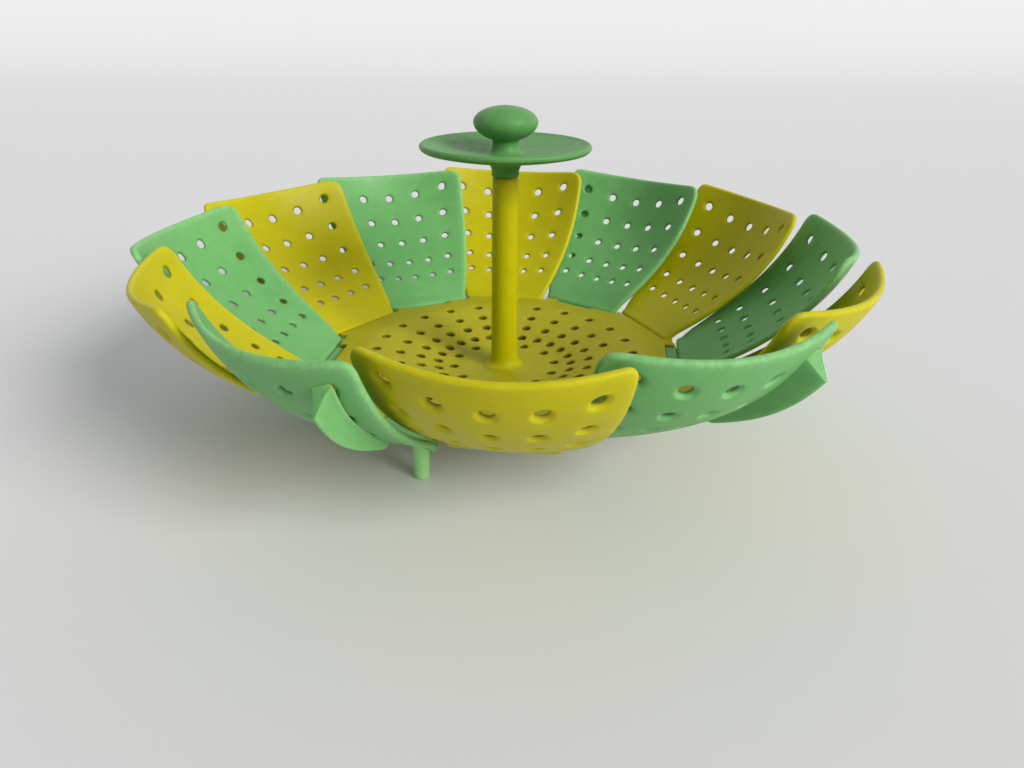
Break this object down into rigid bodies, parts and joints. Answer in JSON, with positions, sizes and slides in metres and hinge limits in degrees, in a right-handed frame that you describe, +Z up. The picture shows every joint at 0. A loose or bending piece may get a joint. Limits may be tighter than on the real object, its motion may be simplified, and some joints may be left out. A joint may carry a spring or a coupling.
{
  "type": "collapsible colander",
  "caption": "Collapsible colander with overlapping perforated petals hinged round a dished, perforated plate, a centre post with a saucer and knob, and short feet.",
  "frame": {"origin": "where the post's axis meets the table that the feet stand on", "axes": "+Z up along the post; +X passes through the middle of green_petal_1 and through foot_1"},
  "size_m": [0.231, 0.2304, 0.1056],
  "materials": {
    "lime_plastic": "satin moulded",
    "green_plastic": "satin moulded",
    "knob_plastic": "satin moulded"
  },
  "bodies": {
    "base": {"base_plate": "lime_plastic", "support_ring": "green_plastic", "centre_post": "lime_plastic", "handle": "knob_plastic", "foot_1": "green_plastic", "foot_2": "green_plastic", "foot_3": "green_plastic"},
    "green_leaf_1": {"green_petal_1": "green_plastic", "petal_fin_1": "green_plastic"},
    "lime_leaf_1": {"lime_petal_1": "lime_plastic"},
    "green_leaf_2": {"green_petal_2": "green_plastic", "petal_fin_2": "green_plastic"},
    "lime_leaf_2": {"lime_petal_2": "lime_plastic"},
    "green_leaf_3": {"green_petal_3": "green_plastic", "petal_fin_3": "green_plastic"},
    "lime_leaf_3": {"lime_petal_3": "lime_plastic"},
    "green_leaf_4": {"green_petal_4": "green_plastic", "petal_fin_4": "green_plastic"},
    "lime_leaf_4": {"lime_petal_4": "lime_plastic"},
    "green_leaf_5": {"green_petal_5": "green_plastic", "petal_fin_5": "green_plastic"},
    "lime_leaf_5": {"lime_petal_5": "lime_plastic"},
    "green_leaf_6": {"green_petal_6": "green_plastic", "petal_fin_6": "green_plastic"},
    "lime_leaf_6": {"lime_petal_6": "lime_plastic"}
  },
  "joints": [
    {"name": "green_hinge_1", "type": "hinge", "parent": "base", "child": "green_leaf_1", "pos_m": [0.06286, 0, 0.0213], "axis": [-0.1444, -0.9895, 0], "range_deg": [0, 70]},
    {"name": "lime_hinge_1", "type": "hinge", "parent": "base", "child": "lime_leaf_1", "pos_m": [0.05444, 0.03143, 0.0213], "axis": [0.3697, -0.9291, 0], "range_deg": [0, 70]},
    {"name": "green_hinge_2", "type": "hinge", "parent": "base", "child": "green_leaf_2", "pos_m": [0.03143, 0.05444, 0.0213], "axis": [0.7848, -0.6198, 0], "range_deg": [0, 70]},
    {"name": "lime_hinge_2", "type": "hinge", "parent": "base", "child": "lime_leaf_2", "pos_m": [0, 0.06286, 0.0213], "axis": [0.9895, -0.1444, 0], "range_deg": [0, 70]},
    {"name": "green_hinge_3", "type": "hinge", "parent": "base", "child": "green_leaf_3", "pos_m": [-0.03143, 0.05444, 0.0213], "axis": [0.9291, 0.3697, 0], "range_deg": [0, 70]},
    {"name": "lime_hinge_3", "type": "hinge", "parent": "base", "child": "lime_leaf_3", "pos_m": [-0.05444, 0.03143, 0.0213], "axis": [0.6198, 0.7848, 0], "range_deg": [0, 70]},
    {"name": "green_hinge_4", "type": "hinge", "parent": "base", "child": "green_leaf_4", "pos_m": [-0.06286, 0, 0.0213], "axis": [0.1444, 0.9895, 0], "range_deg": [0, 70]},
    {"name": "lime_hinge_4", "type": "hinge", "parent": "base", "child": "lime_leaf_4", "pos_m": [-0.05444, -0.03143, 0.0213], "axis": [-0.3697, 0.9291, 0], "range_deg": [0, 70]},
    {"name": "green_hinge_5", "type": "hinge", "parent": "base", "child": "green_leaf_5", "pos_m": [-0.03143, -0.05444, 0.0213], "axis": [-0.7848, 0.6198, 0], "range_deg": [0, 70]},
    {"name": "lime_hinge_5", "type": "hinge", "parent": "base", "child": "lime_leaf_5", "pos_m": [0, -0.06286, 0.0213], "axis": [-0.9895, 0.1444, 0], "range_deg": [0, 70]},
    {"name": "green_hinge_6", "type": "hinge", "parent": "base", "child": "green_leaf_6", "pos_m": [0.03143, -0.05444, 0.0213], "axis": [-0.9291, -0.3697, 0], "range_deg": [0, 70]},
    {"name": "lime_hinge_6", "type": "hinge", "parent": "base", "child": "lime_leaf_6", "pos_m": [0.05444, -0.03143, 0.0213], "axis": [-0.6198, -0.7848, 0], "range_deg": [0, 70]}
  ],
  "couplings": [
    {"joint": "lime_hinge_1", "follows": "green_hinge_1", "ratio": 1},
    {"joint": "green_hinge_2", "follows": "green_hinge_1", "ratio": 1},
    {"joint": "lime_hinge_2", "follows": "green_hinge_1", "ratio": 1},
    {"joint": "green_hinge_3", "follows": "green_hinge_1", "ratio": 1},
    {"joint": "lime_hinge_3", "follows": "green_hinge_1", "ratio": 1},
    {"joint": "green_hinge_4", "follows": "green_hinge_1", "ratio": 1},
    {"joint": "lime_hinge_4", "follows": "green_hinge_1", "ratio": 1},
    {"joint": "green_hinge_5", "follows": "green_hinge_1", "ratio": 1},
    {"joint": "lime_hinge_5", "follows": "green_hinge_1", "ratio": 1},
    {"joint": "green_hinge_6", "follows": "green_hinge_1", "ratio": 1},
    {"joint": "lime_hinge_6", "follows": "green_hinge_1", "ratio": 1}
  ]
}
